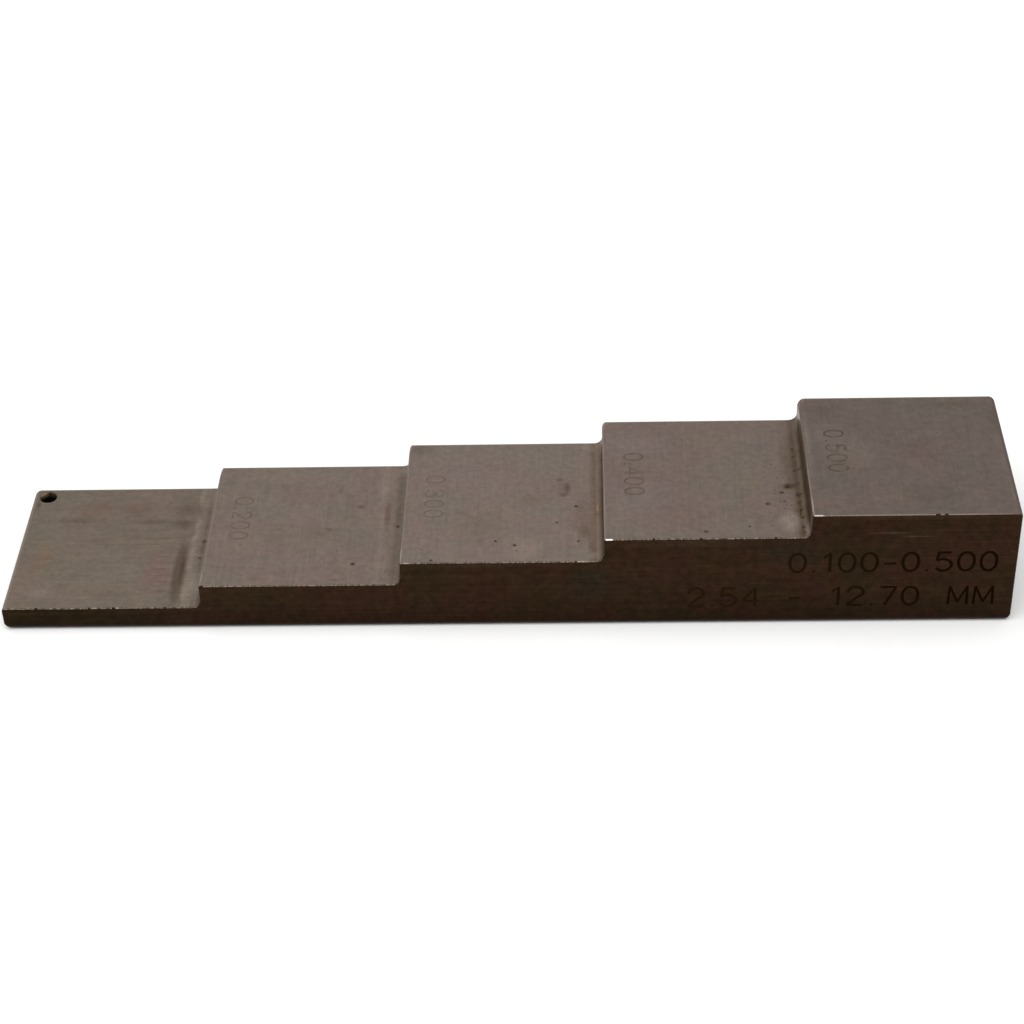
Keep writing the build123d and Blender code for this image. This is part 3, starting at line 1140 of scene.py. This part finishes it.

# %% [markdown]
# ## Finish: worn edge
#
# The small roundings are duller than the treads, because nothing has ground them. Bright steel shows where an edge
# has been knocked or rubbed, in specks along the front. At the front corners of the two highest steps, at the front
# ends of the risers and along some front edges the colour is lighter still, as painted glints and painted highlights,
# and dark patches on the top of the last riser and at the back end of its root are painted shade over reflections. A
# long stain makes a line.

# %% Colours and lights of the edges
front_dull = (0.062, 0.047, 0.036)
front_speck = (0.23, 0.185, 0.15)
# a painted highlight along the front edge of the last step
front_of_last_step_painted_highlight = (0.15, 0.12, 0.096)
dull_end = (0.13, 0.104, 0.088)
eased_edge = (0.29, 0.236, 0.198)
# rubbed bright steel, also used as a painted highlight along edges
rubbed_steel_and_painted_highlight = (0.52, 0.45, 0.39)
# a worn corner made into a painted glint
rubbed_corner_and_painted_glint = (0.9, 0.88, 0.84)
# rubbed wear, painted glints and highlights, and painted shade on the edges
edge_wear_and_painted_light = {
    "front corner of the fourth step": (rubbed_corner_and_painted_glint, 0.9, 9.98, -9.5, 0.42, 0.5, 0.3, 0.5),
    "front corner of the fifth step": (rubbed_corner_and_painted_glint, 0.38, 29.1, -9.5, 0.6, 0.5, 0.3, 0.6),
    "front end of the last riser": (rubbed_steel_and_painted_highlight, 0.6, 28.6, -8.0, 0.3, 1.8, 0.3, 0.8),
    "front end of the second riser": (rubbed_steel_and_painted_highlight, 0.6, -9.5, -8.2, 0.3, 1.6, 0.3, 0.8),
    "front end of the first riser": (rubbed_steel_and_painted_highlight, 0.4, -28.5, -8.2, 0.3, 1.6, 0.3, 0.8),
    # painted shade over reflections on the top of the last riser and at the back of its root
    "painted shade on the top of the last riser": ((0.19, 0.154, 0.13), 0.85, 28.7, 4.6, 0.6, 7.6, 0.4, 0.5),
    "painted shade at the back end of the last root": ((0.12, 0.098, 0.082), 0.9, 28.3, 9.4, 0.9, 0.7, 0.3, 0.5),
    "top of the third riser": (rubbed_steel_and_painted_highlight, 0.25, 9.5, -4.8, 0.3, 5.0, 0.5),
    "front edge of the fifth tread": (rubbed_steel_and_painted_highlight, 0.1, 38.0, -9.5, 9.6, 0.3, 0.5, 0.5),
    "front edge by the third root": (rubbed_steel_and_painted_highlight, 0.3, 7.3, -9.5, 1.2, 0.3, 0.8, 0.8),
    "front edge at the left of the third tread": (rubbed_steel_and_painted_highlight, 0.3, -8.9, -9.5, 0.6, 0.3, 0.8, 0.8),
    "front edge of the first tread": (rubbed_steel_and_painted_highlight, 0.25, -36.6, -9.5, 0.5, 0.3, 0.8, 0.8),
}
print("edge lights", len(edge_wear_and_painted_light))

# %% Finish of the edges
def worn_edge(where):
    """Dull along the front, lighter on the tops of the risers, with rubbed spots, painted glints and highlights, and
    patches of painted shade
    """
    place = where["Place"]
    burrs = noise_at(place, 5.0, 3, Roughness=0.7)
    front = blend(ramp(burrs, 0.42, 0.66), front_dull, front_speck)
    # painted highlight along the front edge of the last step
    front = blend(ramp(where["X"], 27.0, 29.5, 0, 0.75), front, front_of_last_step_painted_highlight)
    behind_front = ramp(where["Y"], low.y / mm + 0.12, low.y / mm + 0.20)
    at_back = ramp(where["Y"], high.y / mm - 0.40, high.y / mm - 0.30)
    at_thick_end = ramp(where["X"], high.x / mm - 0.40, high.x / mm - 0.30)
    rubbed = noise_at(place, 2.6, 4, Roughness=0.7)
    colour = blend(behind_front, front, eased_edge)
    colour = blend(times(at_back, 0.3), colour, rubbed_steel_and_painted_highlight)
    colour = blend(times(at_thick_end, 0.8), colour, dull_end)
    colour = blend(ramp(rubbed, 0.62, 0.74, 0, 0.22), colour, rubbed_steel_and_painted_highlight)
    push = push_of(place, 1.5)
    return {"Base Color": lay_stains(colour, edge_wear_and_painted_light, place, push, push)}


surface("worn_edge", worn_edge, Metallic=1.0, Roughness=0.62)

# %% [markdown]
# ## Finishes of what was cut
#
# Dry dirt fills the engraved lines, so they don't shine as the steel does. It is nearly black on the front. The pits
# hold dry rust, which isn't metal any more, so it is rough and not metallic. The hole is rusty too and brown near its
# mouth; further down it is painted black, as shade inside the hole.

# %% Finish of the lines
line_colours = [(0.09, 0.068, 0.055), (0.108, 0.081, 0.065), (0.112, 0.086, 0.07), (0.096, 0.072, 0.057),
                (0.078, 0.061, 0.048)]


def engraved_line(where):
    """Dirt that is different on each tread, and nearly black on the front"""
    colour = line_colours[0]
    for start, line_colour in zip(tread_starts[1:], line_colours[1:]):
        colour = blend(calculate("GREATER_THAN", where["X"], start / mm), colour, line_colour)
    dirt = noise_at(where["Place"], 1.3, 4)
    colour = blend(ramp(dirt, 0.45, 0.65, 0, 0.35), colour, (0.150, 0.118, 0.098))
    on_front = calculate("LESS_THAN", where["Y"], low.y / mm + 0.25)
    faded = ramp(where["X"], 45.0, 20.0)
    front_line = blend(faded, (0.0085, 0.0038, 0.0009), (0.0170, 0.0092, 0.0036))
    return {"Base Color": blend(on_front, colour, front_line)}


surface("engraved_line", engraved_line, Metallic=0.0, Roughness=0.9, Specular_IOR_Level=0.0)

# %% Finish of the pits
darkest_rust = (0.02, 0.012, 0.008)
darkest_pits = {
    "largest pit": (darkest_rust, 0.85, 26.95, -1.57, 0.33, 0.33, 0.5, 0.8),
    "second largest pit": (darkest_rust, 0.6, 27.88, -2.95, 0.25, 0.25, 0.5, 0.8),
    "pit beside them": (darkest_rust, 0.5, 26.3, -2.55, 0.2, 0.2, 0.5, 0.8),
}


def rust_pit(where):
    """Dry rust, which is darkest in the largest pits"""
    place = where["Place"]
    colour = blend(ramp(noise_at(place, 6.0, 4), 0.4, 0.65), (0.044, 0.028, 0.018), (0.102, 0.067, 0.044))
    push = push_of(place, 2.4)
    return {"Base Color": lay_stains(colour, darkest_pits, place, push, push)}


surface("rust_pit", rust_pit, Metallic=0.0, Roughness=0.85, Specular_IOR_Level=0.0)

# %% Finish of the hole
def rusty_hole(where):
    """Brown near the mouth and painted black further down as shade, with a patch of bright rust"""
    place, mouth = where["Place"], rise / mm - 0.05
    brown = blend(ramp(noise_at(place, 3.0, 4), 0.4, 0.6), (0.016, 0.011, 0.005), (0.070, 0.048, 0.024))
    # painted shade: the wall turns near black below the mouth
    colour = blend(ramp(where["Z"], rise / mm - 0.75, mouth), (0.002, 0.0015, 0.001), brown)
    bright_rust = stain_mask(place, push_of(place, 1.5), -46.75, 8.60, 0.65, 0.65, 0.4, 0.8)
    shown = times(bright_rust, ramp(where["Z"], rise / mm - 0.55, mouth))
    return {"Base Color": blend(times(shown, 0.9), colour, (0.250, 0.172, 0.104))}


surface("rusty_hole", rusty_hole, Metallic=0.0, Roughness=0.8, Specular_IOR_Level=0.0)

# %% [markdown]
# ## Floor and light
#
# The block stands on a plain white floor under soft studio light. A large soft light hangs above
# and a little in front of it, and makes the floor nearly white. The treads look up at the far
# side of the room, so the sky there sets how light they are.

# %% Floor, sky and lights
floor_bm = bmesh.new()
bmesh.ops.create_grid(floor_bm, x_segments=1, y_segments=1, size=3)
floor_finish = bpy.data.materials.new("pale_floor")
floor_finish.use_nodes = True
floor_sockets = floor_finish.node_tree.nodes["Principled BSDF"].inputs
for socket, value in (("Base Color", (0.82, 0.82, 0.82)), ("Roughness", 0.9), ("Specular IOR Level", 0.1)):
    feed(floor_sockets[socket], value)
floor = new_object("floor", floor_bm, [floor_finish])

sky = bpy.data.worlds.new("sky")
bpy.context.scene.world = sky
sky.use_nodes = True
feed(sky.node_tree.nodes["Background"].inputs["Color"], (0.46, 0.455, 0.445))

overhead_data = bpy.data.lights.new("overhead", "AREA")
overhead_data.size = 1.5
overhead_data.energy = 21.0
overhead = add_object("overhead", overhead_data)
overhead.location = (-0.15, -0.35, 1.15)
overhead.rotation_euler = (-overhead.location).to_track_quat("-Z", "Y").to_euler()
bpy.context.scene.view_settings.view_transform = "Standard"
print("light", overhead.name, overhead_data.size, "m wide")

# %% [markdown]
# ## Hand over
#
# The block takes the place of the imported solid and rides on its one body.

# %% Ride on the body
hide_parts("step_block")
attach(block, "root")
